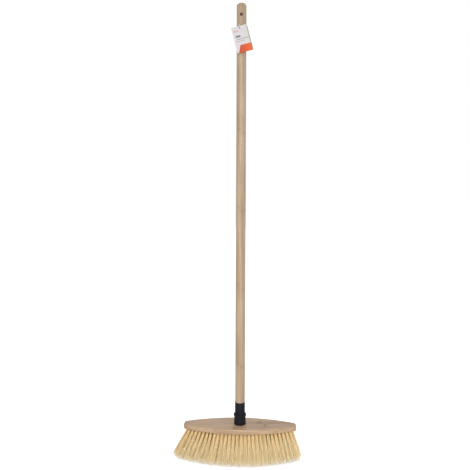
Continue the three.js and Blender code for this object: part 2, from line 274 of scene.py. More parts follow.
def drilled_face(border, centres, radius, sides=16, inner=()):
    """Triangulates the plane inside border, less a round hole at each centre.

    Returns the flat points and the triangles. The points are the border's, then each hole's rim in turn, then
    the inner ones, which a face that has to bend needs. A triangle goes when its middle is inside a hole."""
    rims = [circle(centre, radius, sides) for centre in centres]
    points = np.concatenate([border, *rims, np.reshape(inner, (-1, 2))])
    loops = [np.arange(len(border))]
    loops += [np.arange(sides) + len(border) + sides * number for number in range(len(rims))]
    edges = np.concatenate([np.stack([loop, np.roll(loop, -1)], axis=1) for loop in loops])
    found, _, faces, _, _, _ = delaunay_2d_cdt(
        [Vector(point) for point in points], edges.tolist(), [], 1, 1e-7
    )
    flat = np.array([tuple(point) for point in found])
    triangles = np.array(faces)
    middles = flat[triangles].mean(axis=1)
    keep = np.ones(len(triangles), bool)
    for centre in centres:
        keep &= np.linalg.norm(middles - np.asarray(centre), axis=1) > radius * math.cos(math.pi / sides)
    return flat, triangles[keep]


# %% [markdown]
# ## Building materials
#
# Materials are node trees. Small helpers keep them readable: the first adds a node and sets its inputs,
# either to a value or to another node's output, and the others are the few steps that every material here
# takes. The bamboo's grain, which block and rod share, is a node group with named inputs and outputs.

# %% Node helpers
def add_node(tree, kind, settings=None, **inputs):
    """Adds a node, sets its properties from settings, and sets or links its inputs by name or position."""
    node = tree.nodes.new(kind)
    for key, value in (settings or {}).items():
        setattr(node, key, value)
    for key, value in inputs.items():
        socket = node.inputs[int(key[1:])] if key[0] == "_" else node.inputs[key.replace("_", " ")]
        if isinstance(value, bpy.types.NodeSocket):
            tree.links.new(value, socket)
        else:
            socket.default_value = value
    return node


def calculate(tree, operation, first, second=0.0, third=0.0):
    """One step of arithmetic on numbers or sockets, as a Math node's output."""
    settings = {"operation": operation}
    return add_node(tree, "ShaderNodeMath", settings, _0=first, _1=second, _2=third).outputs[0]


def mix_colours(tree, share, first, second):
    """The colour first + share x (second - first)."""
    return add_node(tree, "ShaderNodeMix", {"data_type": "RGBA"}, _0=share, _6=first, _7=second).outputs[2]


def ramp(tree, value, low, high, bottom=0.0, top=1.0):
    """value taken smoothly from bottom at low to top at high."""
    settings = {"interpolation_type": "SMOOTHSTEP"}
    values = {"_0": value, "_1": low, "_2": high, "_3": bottom, "_4": top}
    return add_node(tree, "ShaderNodeMapRange", settings, **values).outputs[0]


def stretch(tree, vector, scales):
    """The vector with each of its axes multiplied by its own number."""
    settings = {"operation": "MULTIPLY"}
    return add_node(tree, "ShaderNodeVectorMath", settings, _0=vector, _1=scales).outputs[0]


def noise(tree, vector, scale, detail=2.0, roughness=0.5):
    """A noise texture's value, mostly between 0.3 and 0.7. The scale is one number or one for each axis."""
    if isinstance(scale, tuple):
        vector = stretch(tree, vector, scale)
        scale = 1.0
    values = {"Vector": vector, "Scale": scale, "Detail": detail, "Roughness": roughness}
    return add_node(tree, "ShaderNodeTexNoise", None, **values).outputs[0]


def own_place(tree):
    """A place on the piece in its own coordinates, which don't change when its body moves."""
    return add_node(tree, "ShaderNodeTexCoord").outputs["Object"]


def start_group(name, inputs, outputs):
    """A node group with float, vector and colour sockets, each given as (kind, name, default)."""
    group = bpy.data.node_groups.new(name, "ShaderNodeTree")
    kinds = {"value": "NodeSocketFloat", "vector": "NodeSocketVector", "colour": "NodeSocketColor"}
    for kind, label, default in inputs:
        socket = group.interface.new_socket(name=label, in_out="INPUT", socket_type=kinds[kind])
        if default is not None:
            socket.default_value = default
    for kind, label in outputs:
        group.interface.new_socket(name=label, in_out="OUTPUT", socket_type=kinds[kind])
    return group, group.nodes.new("NodeGroupInput"), group.nodes.new("NodeGroupOutput")


def start_material(name, **shader_values):
    """A material with one Principled shader, whose constant values are set on its own sockets."""
    material = bpy.data.materials.new(name)
    material.use_nodes = True
    tree = material.node_tree
    tree.nodes.clear()
    shader = add_node(tree, "ShaderNodeBsdfPrincipled", None, **shader_values)
    output = tree.nodes.new("ShaderNodeOutputMaterial")
    tree.links.new(shader.outputs[0], output.inputs[0])
    return material, tree, shader


def finish_surface(tree, shader, colour, rough, height=None, depth=0.0):
    """Feeds colour, roughness and any height into the shader. A height of 1 stands for depth metres."""
    tree.links.new(colour, shader.inputs["Base Color"])
    tree.links.new(rough, shader.inputs["Roughness"])
    if height is not None:
        bump = add_node(tree, "ShaderNodeBump", None, Height=height, Distance=depth, Strength=1.0)
        tree.links.new(bump.outputs[0], shader.inputs["Normal"])


# %% [markdown]
# ## Bamboo
#
# Block and rod are both glued up from split bamboo. What the eye reads as bamboo is the long parallel
# fibre, with short dark dashes where the bundles of vessels are cut, the slightly different tone of each
# glued strip, and the darker joint, or node, that crosses one strip at a time. A plain wood texture has
# growth rings instead, which bamboo never has. So the group takes a vector whose first axis runs along the
# strips and whose second crosses them, and works out those four things. Each material turns its own
# coordinates to suit.

# %% Bamboo grain group
def bamboo_grain_group():
    """Colour, roughness and height of glued bamboo, from a vector along and across its strips in metres."""
    group, given, result = start_group(
        "bamboo_grain",
        [
            ("vector", "Vector", None),
            ("value", "Strip Width", 0.02),
            ("value", "Joint Spacing", 0.25),
            ("value", "Joint Offset", 0.0),
            ("value", "Joint Strength", 0.5),
            ("colour", "Pale", (0.6, 0.4, 0.2, 1)),
            ("colour", "Golden", (0.6, 0.4, 0.2, 1)),
            ("colour", "Dark", (0.4, 0.25, 0.12, 1)),
        ],
        [("colour", "Color"), ("value", "Roughness"), ("value", "Height")],
    )
    vector = given.outputs["Vector"]
    parts = add_node(group, "ShaderNodeSeparateXYZ", None, _0=vector).outputs
    strip = calculate(group, "FLOOR", calculate(group, "DIVIDE", parts[1], given.outputs["Strip Width"]))
    strip_tone = add_node(group, "ShaderNodeTexWhiteNoise", {"noise_dimensions": "1D"}, W=strip).outputs[0]

    fibres = noise(group, vector, (28.0, 1900.0, 1900.0), 3.0, 0.6)
    bundles = noise(group, vector, (70.0, 2600.0, 2600.0), 1.0, 0.4)
    bands = noise(group, vector, (5.0, 160.0, 160.0))
    clouds = noise(group, vector, (11.0, 30.0, 30.0))

    from_first = calculate(group, "SUBTRACT", parts[0], given.outputs["Joint Offset"])
    along = calculate(group, "DIVIDE", from_first, given.outputs["Joint Spacing"])
    shifted = calculate(group, "MULTIPLY_ADD", strip_tone, 7.31, along)
    wavy = calculate(group, "MULTIPLY_ADD", bands, 0.02, shifted)
    from_middle = calculate(group, "SUBTRACT", calculate(group, "FRACT", wavy), 0.5)
    from_joint = calculate(group, "ABSOLUTE", from_middle)
    joint_line = ramp(group, from_joint, 0.012, 0.003)
    joint_cloud = ramp(group, from_joint, 0.06, 0.0)
    joint = calculate(group, "MULTIPLY_ADD", joint_cloud, 0.45, joint_line)
    joint = calculate(group, "MULTIPLY", joint, given.outputs["Joint Strength"])

    tone = calculate(group, "MULTIPLY_ADD", strip_tone, 0.3, -0.22)
    variations = ((fibres, 0.35, 0.7, 0.35), (bands, 0.38, 0.66, 0.35), (clouds, 0.35, 0.7, 0.25))
    for value, low, high, share in variations:
        tone = calculate(group, "MULTIPLY_ADD", ramp(group, value, low, high), share, tone)
    dashes = ramp(group, bundles, 0.6, 0.7)
    tone = calculate(group, "MULTIPLY_ADD", dashes, 0.3, tone)
    tone = calculate(group, "ADD", tone, joint)
    tone = add_node(group, "ShaderNodeClamp", None, _0=tone).outputs[0]
    golden = ramp(group, bands, 0.4, 0.62)
    ground = mix_colours(group, golden, given.outputs["Pale"], given.outputs["Golden"])
    colour = mix_colours(group, tone, ground, given.outputs["Dark"])

    rough = calculate(group, "MULTIPLY_ADD", tone, 0.12, 0.4)
    height = calculate(group, "MULTIPLY_ADD", dashes, -0.5, calculate(group, "MULTIPLY", fibres, 0.6))
    height = calculate(group, "MULTIPLY_ADD", joint_line, -0.6, height)
    for label, value in (("Color", colour), ("Roughness", rough), ("Height", height)):
        group.links.new(value, result.inputs[label])
    return group


BAMBOO_GRAIN = bamboo_grain_group()


def bamboo_material(name, turn, pale, golden, dark, darkened, **grain_values):
    """Glued bamboo whose strips run along X once the piece's own coordinates have been turned by turn.

    darkened gives an axis and two places on it, between which the wood slowly darkens. On the block this is
    painted shade at its left end; on the rod it is only darker towards the top."""
    material, tree, shader = start_material(name, Coat_Weight=0.08, Coat_Roughness=0.3)
    place = own_place(tree)
    turned = add_node(tree, "ShaderNodeMapping", None, Vector=place, Rotation=turn).outputs[0]
    colours = {"Pale": pale, "Golden": golden, "Dark": dark}
    settings = {"node_tree": BAMBOO_GRAIN}
    grain = add_node(tree, "ShaderNodeGroup", settings, Vector=turned, **colours, **grain_values)
    # Painted shade on the block's left end; on the rod, only darker towards the top.
    axis, start, end = darkened
    along = add_node(tree, "ShaderNodeSeparateXYZ", None, _0=place).outputs[axis]
    colour = mix_colours(tree, ramp(tree, along, start, end, 0.0, 0.45), grain.outputs["Color"], dark)
    finish_surface(tree, shader, colour, grain.outputs["Roughness"], grain.outputs["Height"], 0.00012)
    return material


block_bamboo = bamboo_material(
    "block_bamboo",
    (0, 0, 0),
    (0.43, 0.292, 0.186, 1),
    (0.41, 0.267, 0.15, 1),
    (0.215, 0.135, 0.078, 1),
    # Painted shade: the block's left end darkens.
    (0, -0.138, -0.149),
    Strip_Width=0.0195,
    Joint_Spacing=0.23,
    Joint_Strength=0.5,
)
rod_bamboo = bamboo_material(
    "rod_bamboo",
    (math.pi / 2, 0, math.pi / 2),
    (0.395, 0.287, 0.198, 1),
    (0.35, 0.252, 0.14, 1),
    (0.23, 0.163, 0.095, 1),
    # The rod darkens towards its top.
    (2, 1.02, 1.18),
    Strip_Width=0.0135,
    Joint_Spacing=0.207,
    Joint_Offset=-0.0135,
    Joint_Strength=0.2,
)
print("bamboo materials:", block_bamboo.name, rod_bamboo.name)

# %% [markdown]
# ## Moulded plastic, fibre, steel, card and elastic
#
# The socket and the tip are injection-moulded black plastic with a fine satin texture and faint handling
# marks. The bristles are cream fibre: each has its own tone, its root is painted browner as shade under the
# block, and it is paler at its soft, split tip, so the material reads two numbers that each bristle carries.
# Steel is zinc-plated wire and screws. The tag is coated card, and its loop is clear soft plastic cord.

# %% Plain finishes
def plastic_material():
    """Satin black plastic: a fine grainy texture and a slow change of gloss over the surface."""
    material, tree, shader = start_material("black_plastic", Specular_IOR_Level=0.12)
    place = own_place(tree)
    grain = noise(tree, place, 2600.0, 2.0, 0.6)
    handled = ramp(tree, noise(tree, place, (60.0, 60.0, 25.0), 4.0, 0.6), 0.3, 0.75)
    colour = mix_colours(tree, handled, (0.006, 0.0063, 0.009, 1), (0.011, 0.0115, 0.016, 1))
    rough = calculate(tree, "MULTIPLY_ADD", handled, 0.16, 0.4)
    finish_surface(tree, shader, colour, rough, grain, 0.00006)
    return material


def fibre_material():
    """Cream fibre, coloured by how far along a bristle a place is and by the bristle's own tone."""
    material, tree, shader = start_material("bristle_fibre", Specular_IOR_Level=0.12)
    tone, along = (
        add_node(tree, "ShaderNodeAttribute", {"attribute_name": name}).outputs["Fac"]
        for name in ("tone", "along")
    )
    pale = mix_colours(tree, tone, (0.89, 0.685, 0.365, 1), (0.96, 0.815, 0.515, 1))
    # Painted shade: the root colour is browner, for the shade under the block.
    root = mix_colours(tree, tone, (0.85, 0.59, 0.27, 1), (0.93, 0.72, 0.39, 1))
    colour = mix_colours(tree, ramp(tree, along, 0.05, 0.6), root, pale)
    colour = mix_colours(tree, ramp(tree, along, 0.8, 1.0, 0.0, 0.6), colour, (0.95, 0.87, 0.68, 1))
    rough = calculate(tree, "MULTIPLY_ADD", tone, 0.2, 0.5)
    finish_surface(tree, shader, colour, rough)
    return material


def steel_material():
    """Zinc-plated steel: faint turning marks round the piece and cloudy plating."""
    material, tree, shader = start_material("zinc_steel", Metallic=1.0)
    place = own_place(tree)
    marks = noise(tree, place, (900.0, 900.0, 6000.0))
    plating = noise(tree, place, 420.0, 3.0)
    colour = mix_colours(tree, ramp(tree, plating, 0.3, 0.7), (0.44, 0.46, 0.5, 1), (0.62, 0.62, 0.6, 1))
    rough = calculate(tree, "MULTIPLY_ADD", marks, 0.25, 0.22)
    finish_surface(tree, shader, colour, rough, marks, 0.00002)
    return material


def elastic_material():
    """Clear soft plastic cord, a little milky, with fine draw lines along it from its own map."""
    material, tree, shader = start_material("clear_elastic", Transmission_Weight=0.8, IOR=1.48)
    place = add_node(tree, "ShaderNodeUVMap", {"uv_map": "cord"}).outputs[0]
    lines = noise(tree, place, (0.4, 9.0, 1.0), 3.0)
    colour = mix_colours(tree, lines, (0.72, 0.7, 0.64, 1), (0.95, 0.94, 0.9, 1))
    rough = calculate(tree, "MULTIPLY_ADD", lines, 0.3, 0.1)
    finish_surface(tree, shader, colour, rough, lines, 0.00004)
    return material


black_plastic = plastic_material()
bristle_fibre = fibre_material()
zinc_steel = steel_material()
clear_elastic = elastic_material()
print("finishes:", black_plastic.name, bristle_fibre.name, zinc_steel.name, clear_elastic.name)

# %% [markdown]
# ## The block: its outline and its tufts' places
#
# The block is sawn from a bamboo board: two long arcs, square ends, rounded corners. Its sizes come from
# the frame. A tuft sits in each drilled hole. The outer rows follow the block's edge and the inner ones are
# straight, and every tuft leans outwards in step with its distance from the middle: the two leans are
# angles for each metre of it.

# %% Block sizes and outline
block_low, block_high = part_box("brush_block")
BLOCK_LENGTH = block_high.x - block_low.x
BLOCK_DEPTH = block_high.y - block_low.y
BLOCK_TOP = block_high.z
BLOCK_UNDERSIDE = block_low.z
EDGE_RADIUS = 0.39
CORNER_RADIUS = 0.008
ARC_CENTRE = EDGE_RADIUS - BLOCK_DEPTH / 2


def half_depth(x):
    """Half the block's depth at x: the long arc, sqrt(R squared - x squared), less its centre's distance."""
    return np.sqrt(EDGE_RADIUS**2 - np.asarray(x) ** 2) - ARC_CENTRE


def block_outline():
    """The outline as (point, outward direction) pairs, counter-clockwise from the middle of the right end.

    It is one quarter, a corner's arc and half a long arc, mirrored to make the other three."""
    corner_x = BLOCK_LENGTH / 2 - CORNER_RADIUS
    corner_y = math.sqrt((EDGE_RADIUS - CORNER_RADIUS) ** 2 - corner_x**2) - ARC_CENTRE
    turn = math.atan2(corner_y + ARC_CENTRE, corner_x)
    end_y = np.linspace(0, corner_y, 4)[:-1]
    end = np.stack([np.full(3, BLOCK_LENGTH / 2), end_y], axis=1)
    corner, edge = (
        np.stack([np.cos(angle), np.sin(angle)], axis=1)
        for angle in (np.linspace(0, turn, 10), np.linspace(turn, math.pi / 2, 37)[1:])
    )
    corner_points = corner * CORNER_RADIUS + (corner_x, corner_y)
    edge_points = edge * EDGE_RADIUS - (0, ARC_CENTRE)
    points = np.concatenate([end, corner_points, edge_points])
    quarter = np.hstack([points, np.concatenate([np.tile([1.0, 0.0], (3, 1)), corner, edge])])
    half = np.concatenate([quarter, quarter[-2::-1] * (-1, 1, -1, 1)])
    whole = np.concatenate([half, half[-2:0:-1] * (1, -1, 1, -1)])
    return whole[:, :2], whole[:, 2:]


outline, outward = block_outline()
print("block:", round(BLOCK_LENGTH, 4), "by", round(BLOCK_DEPTH, 4), "m,", len(outline), "outline points")

# %% Tuft places
TUFT_PITCH = 0.00985
ROW_PITCH = 0.011
EDGE_INSET = 0.0072
LEAN_ALONG = math.radians(130)
LEAN_ACROSS = math.radians(470)


def edge_line(x):
    """Where the outer rows run: the block's edge, less the inset."""
    return half_depth(x) - EDGE_INSET


# Each row is its number of tufts and the Y of its line at a place along the block.
ROWS = {
    "bristle_row_1_front": (28, lambda x: -edge_line(x)),
    "bristle_row_2": (13, lambda x: x * 0 - 2 * ROW_PITCH),
    "bristle_row_3": (22, lambda x: x * 0 - ROW_PITCH),
    "bristle_row_4_middle": (29, lambda x: x * 0),
    "bristle_row_5": (22, lambda x: x * 0 + ROW_PITCH),
    "bristle_row_6": (13, lambda x: x * 0 + 2 * ROW_PITCH),
    "bristle_row_7_rear": (28, edge_line),
}


def tuft_places(row):
    """The (x, y) of each tuft's root in a row: even steps along X, on the row's line."""
    count, line = ROWS[row]
    x = (np.arange(count) - (count - 1) / 2) * TUFT_PITCH
    return np.stack([x, line(x)], axis=1)


def tuft_slopes(places):
    """How far each tuft moves outwards for each metre of fall, along X and along Y."""
    return np.tan(places * (LEAN_ALONG, LEAN_ACROSS))


all_tufts = np.concatenate([tuft_places(row) for row in ROWS])
print("tufts:", len(all_tufts))

# %% [markdown]
# ## The block: its surface
#
# The rim is the outline carried round with a profile: up from the underside, round the lower edge, up the
# side and round the upper edge. The top has a shallow recess for the socket, and the underside has a hole
# for each tuft, drilled on the tuft's lean. Holes could be cut with boolean modifiers, but 155 of those are
# slow and leave ragged shading, so the faces are triangulated round the holes' rims, and each rim is
# carried down as a wall.

# %% Block walls, holes and faces
HOLE_RADIUS = 0.0029
HOLE_DEPTH = 0.0075
HOLE_SIDES = 16
RECESS_SIDES = 48
EDGE_ROUNDING = 0.0024
socket_low, socket_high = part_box("thread_socket")
screw_boxes = [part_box(name) for name in ("socket_screw_1", "socket_screw_2")]
SCREW_PLACES = [((low.x + high.x) / 2, (low.y + high.y) / 2) for low, high in screw_boxes]
GAP = 0.0003
SPIGOT_RADIUS = 0.012
PILOT_RADIUS = 0.002


def flat_at(points, height):
    """Plane points as space points at one height."""
    return np.column_stack([points, np.full(len(points), height)])


class Surface:
    """Collects the parts of one closed surface, and numbers their points in one run."""

    def __init__(self):
        self.points = []
        self.faces = {3: [], 4: []}
        self.count = 0

    def add(self, points, faces):
        """Adds points and the faces between them."""
        self.points.append(np.asarray(points, float))
        self.faces[faces.shape[1]].append(faces + self.count)
        self.count += len(points)

    def add_rings(self, rings):
        """Adds a wall over closed rings of points, given as an array of rings x points x 3."""
        self.add(rings.reshape(-1, 3), grid_faces(*rings.shape[:2], close_columns=True))

    def arrays(self):
        """All points, and one array of faces for each number of corners."""
        sets = [np.concatenate(faces) for faces in self.faces.values() if faces]
        return np.concatenate(self.points), sets


def hole_wall(surface, centre, radius, mouth, end, slope=(0.0, 0.0)):
    """A blind hole: rings from mouth to end on the given slope, closed by a fan round one last point."""
    rim = circle(centre, radius, HOLE_SIDES)
    depths = np.array([0.0, 0.5, 1.0]) * (end - mouth)
    shifts = -np.outer(np.abs(depths), slope)
    rings = np.stack([flat_at(rim + shift, mouth + depth) for shift, depth in zip(shifts, depths)])
    surface.add_rings(rings)
    ring = np.arange(HOLE_SIDES)
    fan = np.stack([ring, np.roll(ring, -1), np.full(HOLE_SIDES, HOLE_SIDES)], axis=1)
    surface.add(np.vstack([rings[-1], rings[-1].mean(axis=0)]), fan)


def block_surface():
    """The whole block as one closed surface."""
    surface = Surface()
    steps = np.linspace(0, math.pi / 2, 6)
    edge = EDGE_ROUNDING * (1 - np.sin(steps))
    rise = EDGE_ROUNDING * (1 - np.cos(steps))
    support = EDGE_ROUNDING * 1.25
    thickness = BLOCK_TOP - BLOCK_UNDERSIDE
    insets = np.concatenate([[support], edge, edge[::-1], [support]])
    heights = np.concatenate([[0.0], rise, thickness - rise[::-1], [thickness]])
    levels = zip(insets, BLOCK_UNDERSIDE + heights)
    surface.add_rings(np.stack([flat_at(outline - inset * outward, height) for inset, height in levels]))
    inner_border = outline - support * outward

    under, under_faces = drilled_face(inner_border, all_tufts, HOLE_RADIUS, HOLE_SIDES)
    surface.add(flat_at(under, BLOCK_UNDERSIDE), under_faces)
    for place, slope in zip(all_tufts, tuft_slopes(all_tufts)):
        hole_wall(surface, place, HOLE_RADIUS, BLOCK_UNDERSIDE, BLOCK_UNDERSIDE + HOLE_DEPTH, slope)

    recess_floor = socket_low.z - GAP
    recess_radius = SPIGOT_RADIUS + GAP
    top, top_faces = drilled_face(inner_border, [(0.0, 0.0)], recess_radius, RECESS_SIDES)
    surface.add(flat_at(top, BLOCK_TOP), top_faces)
    recess_rim = circle((0.0, 0.0), recess_radius, RECESS_SIDES)
    surface.add_rings(np.stack([flat_at(recess_rim, height) for height in (BLOCK_TOP, recess_floor)]))
    floor, floor_faces = drilled_face(recess_rim, SCREW_PLACES, PILOT_RADIUS, HOLE_SIDES)
    surface.add(flat_at(floor, recess_floor), floor_faces)
    for place, (low, _) in zip(SCREW_PLACES, screw_boxes):
        hole_wall(surface, place, PILOT_RADIUS, recess_floor, low.z - GAP)
    return surface


block_shape = block_surface().arrays()
block = new_piece("bamboo_block", *block_shape, block_bamboo, "brush_head", "block_bamboo", 2e-6)
sharpen(block, 40)
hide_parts("brush_block")

# %% [markdown]
# ## The bristles
#
# Each tuft is a bundle of fibre, folded over a wire and driven into its hole. It leaves the hole tight and
# round and opens like a brush, so that neighbours meet about half-way down and only the roots show as
# separate stripes. The tips are split and uneven. Hair particles would look well but do not export as a
# solid model, so each bristle is a thin three-sided tube of a few dozen faces, and a whole row is worked
# out at once as arrays.

# %% Bristle sizes
BRISTLES_PER_TUFT = 150
ROOT_RADIUS = 0.0026
BRISTLE_RADIUS = 0.00021
BRISTLE_TAPER = 0.35
LEVELS = np.array([0.0, 0.2, 0.38, 0.57, 0.78, 0.95])
ROOT_REACH = 0.0065
TIP_SPREAD = np.array([2.5, 3.6])
LOCKS_PER_TUFT = 5
LOCK_PULL = 0.22
TUFT_TRIM = 0.0008
TIP_RAGGEDNESS = 0.0014
DEEPEST_TRIM = 0.02
WAVE = 0.001
SWEPT_LEFT = 1.52
SWEPT_RIGHT = 0.95
SWEPT_APART = 1.14


def swept_slopes(places):
    """The tufts' slopes after use: those left of the middle are swept further out than those right of it.

    Front and rear rows are swept apart by the same share everywhere."""
    sweep = np.where(places[:, :1] < 0, SWEPT_LEFT, SWEPT_RIGHT)
    return tuft_slopes(places * np.hstack([sweep, np.full_like(sweep, SWEPT_APART)]))


# %% Bristle middle lines
def bristle_lines(places, chance):
    """The middle line of each bristle, as (level, bristle, 3) points, for tufts rooted at places.

    A bristle starts at a place in its tuft's hole, at even density over the circle. It falls by t times its
    length, and moves outwards by the tuft's slope times the fall. Its distance from the tuft's middle grows
    as 1 + spread times t to the power 1.1, and the spread is wider across the block than along it. With t
    squared it is drawn towards its lock, a place in the tuft that a fifth of the bristles share, and bends
    sideways at random. Its tip stops a random height above the floor."""
    count = len(places) * BRISTLES_PER_TUFT
    tuft = np.repeat(np.arange(len(places)), BRISTLES_PER_TUFT)
    angle = chance.uniform(0, 2 * math.pi, count)
    distance = ROOT_RADIUS * np.sqrt(chance.uniform(0, 1, count))
    offset = np.stack([np.cos(angle), np.sin(angle)], axis=1) * distance[:, None]
    bend = chance.normal(0, WAVE, (count, 2))
    ripple = chance.normal(0, WAVE * 0.2, (count, 2))
    trim = chance.uniform(0, TUFT_TRIM, len(places))[tuft] + chance.exponential(TIP_RAGGEDNESS, count)

    locks = chance.normal(0, ROOT_RADIUS * (1 + TIP_SPREAD) * 0.5, (len(places), LOCKS_PER_TUFT, 2))
    lock = locks[tuft, chance.integers(0, LOCKS_PER_TUFT, count)]
    lock_trim = chance.uniform(0, TUFT_TRIM, (len(places), LOCKS_PER_TUFT))[tuft, 0]

    top = BLOCK_UNDERSIDE + ROOT_REACH
    t = np.append(LEVELS, 1.0)[:, None]
    fall = t * (top - np.minimum(trim + lock_trim, DEEPEST_TRIM))[None]
    t = t[..., None]
    spread = offset[None] * (1 + TIP_SPREAD * t**1.1)
    drawn = (lock - offset * (1 + TIP_SPREAD))[None] * LOCK_PULL * t**2
    lean = swept_slopes(places)[tuft][None] * (fall - ROOT_REACH)[..., None]
    bent = bend[None] * t**2 + ripple[None] * np.sin(t * 2 * math.pi)
    across = places[tuft][None] + lean + spread + drawn + bent
    return np.concatenate([across, (top - fall)[..., None]], axis=-1)


# %% Bristle surfaces
def bristle_row(places, seed):
    """Points, faces and two numbers for each point, for all bristles of the tufts rooted at places.

    Three points round each level of a middle line make the tube, which thins by a third, and one its tip."""
    chance = np.random.default_rng(seed)
    middle = bristle_lines(places, chance)
    count = middle.shape[1]
    corner = even_angles(3)
    ring = np.stack([np.cos(corner), np.sin(corner), np.zeros(3)], axis=1)
    thickness = BRISTLE_RADIUS * (1 - BRISTLE_TAPER * LEVELS)
    tube = middle[:-1, :, None] + thickness[:, None, None, None] * ring
    tube = tube.transpose(1, 0, 2, 3).reshape(count, -1, 3)
    points = np.concatenate([tube, middle[-1][:, None]], axis=1)

    each = points.shape[1]
    quads = grid_faces(len(LEVELS), 3, close_columns=True)[:, ::-1]
    last = np.arange(each - 4, each - 1)
    caps = np.vstack([np.stack([last, np.full(3, each - 1), np.roll(last, -1)], axis=1), [[0, 1, 2]]])
    starts = (np.arange(count) * each)[:, None, None]
    faces = [(quads[None] + starts).reshape(-1, 4), (caps[None] + starts).reshape(-1, 3)]
    along = np.append(np.repeat(LEVELS, 3), 1.0)
    tone = np.clip(chance.normal(0.5, 0.25, count), 0, 1)
    return points.reshape(-1, 3), faces, np.tile(along, count), np.repeat(tone, each)


# %% Make the seven rows
for seed, row_name in enumerate(ROWS):
    *shape, row_along, row_tone = bristle_row(tuft_places(row_name), seed)
    name = f"fibre_{row_name}"
    bristles = new_piece(name, *shape, bristle_fibre, "brush_head", "bristle_fibre", weld=None)
    for attribute_name, numbers in (("along", row_along), ("tone", row_tone)):
        attribute = bristles.data.attributes.new(attribute_name, "FLOAT", "POINT")
        attribute.data.foreach_set("value", numbers.astype(np.float32))
    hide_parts(row_name)

# %% [markdown]
# ## The staples that hold the tufts
#
# In the bottom of each hole a short flat wire lies across the folded fibres, with its ends pressed into the
# bamboo. They are out of sight, but the brush would fall apart without them, so all of them are here as
# small flat bars in one piece.

# %% Tuft staples
STAPLE_LENGTH = 0.0054
STAPLE_WIDTH = 0.0009
STAPLE_THICKNESS = 0.0004


def staples():
    """One flat bar with eight corners across each hole, just under the hole's end."""
    signs = np.array([[x, y, z] for z in (-1, 1) for y in (-1, 1) for x in (-1, 1)], float)
    bar = signs * (STAPLE_WIDTH / 2, STAPLE_LENGTH / 2, STAPLE_THICKNESS / 2)
    sides = np.array([[0, 2, 3, 1], [4, 5, 7, 6], [0, 1, 5, 4], [2, 6, 7, 3], [0, 4, 6, 2], [1, 3, 7, 5]])
    depth = HOLE_DEPTH - STAPLE_THICKNESS
    ends = all_tufts - tuft_slopes(all_tufts) * depth
    centres = flat_at(ends, BLOCK_UNDERSIDE + depth)
    points = (centres[:, None] + bar[None]).reshape(-1, 3)
    faces = (sides[None] + (np.arange(len(ends)) * 8)[:, None, None]).reshape(-1, 4)
    return points, [faces]


new_piece("tuft_staples", *staples(), zinc_steel, "brush_head", "zinc_steel", weld=None)

# %% [markdown]
# ## The threaded socket
#
# The socket is black plastic, screwed down to the block: a slightly tapered body, a thick ring just below
# its mouth, and a coarse right-hand thread inside. The thread is not a separate sweep. The inside wall is a
# grid whose radius rises and falls as the thread passes, which gives one closed surface and no seams.

# %% Socket surface
FEMALE_CORE = 0.0112
FEMALE_CREST = 0.0094
FEMALE_START = 0.0935
FEMALE_ENDS = (0.0925, 0.1178)
MALE_CORE = 0.0087
MALE_CREST = 0.0106
MALE_ENDS = (0.0955, 0.1185)
SOCKET_TOP = socket_high.z
SOCKET_RADIUS = socket_high.x
SOCKET_FOOT = BLOCK_TOP + GAP
SOCKET_FLOOR = BLOCK_TOP + 0.002
NECK_RADIUS = 0.0135
NECK_HEIGHT = 0.0045
RING_HEIGHT = 0.005
RING_PROUD = 0.0015
THREAD_CHAMFER = 0.0008
END_CHAMFER = 0.0006


def socket_outside():
    """The profile from the middle of the spigot's foot, up the outside and over the ring, to the mouth."""
    ring_top = SOCKET_TOP - NECK_HEIGHT
    ring_foot = ring_top - RING_HEIGHT
    body = SOCKET_RADIUS - RING_PROUD
    corners = [
        (0.0, socket_low.z, 0),
        (SPIGOT_RADIUS, socket_low.z, 0.0004),
        (SPIGOT_RADIUS, SOCKET_FOOT, 0.0002),
        (body + 0.0006, SOCKET_FOOT, 0.0006),
        (body + 0.0002, SOCKET_FOOT + 0.004, 0.001),
        (body - 0.0002, ring_foot - 0.0012, 0.0006),
        (SOCKET_RADIUS, ring_foot, 0.0006),
        (SOCKET_RADIUS, ring_top, 0.0014),
        (NECK_RADIUS, ring_top, 0.0004),
        (NECK_RADIUS, SOCKET_TOP, 0.0004),
        (FEMALE_CORE + THREAD_CHAMFER, SOCKET_TOP, 0.0004),
        (FEMALE_CORE, SOCKET_TOP - THREAD_CHAMFER, 0),
    ]
    return rounded_profile(corners)


def socket_surface():
    """Outside, threaded inside and floor, as one run of rings."""
    height = np.linspace(SOCKET_TOP - THREAD_CHAMFER, SOCKET_FLOOR + END_CHAMFER, 76)
    wall = thread_radius(height, FEMALE_CORE, FEMALE_CREST, FEMALE_START, FEMALE_ENDS)
    floor = ([FEMALE_CORE - END_CHAMFER, 0.0], [SOCKET_FLOOR, SOCKET_FLOOR])
    return turned_surface([socket_outside(), (wall, height), floor], SEGMENTS)


socket = new_piece("threaded_socket", *socket_surface(), black_plastic, "brush_head", "black_plastic")
sharpen(socket, 50)
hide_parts("thread_socket")

# %% [markdown]
# ## Screws and nail
#
# Two pan-head wood screws hold the socket to the block, inside its bore. Each is one turned grid again: a
# point, a threaded shank, and a head whose top dips for the driver. A nail from the back pins the plastic
# tip to the rod.

# %% Wood screws
SCREW_SHANK = 0.0017
SCREW_HEAD = 0.0032
SCREW_HEAD_HEIGHT = 0.0021
SCREW_POINT = 0.003
SCREW_PITCH = 0.0014
SCREW_ROOT = 0.72
DRIVER_DEPTH = 0.0012
SCREW_SEGMENTS = 32


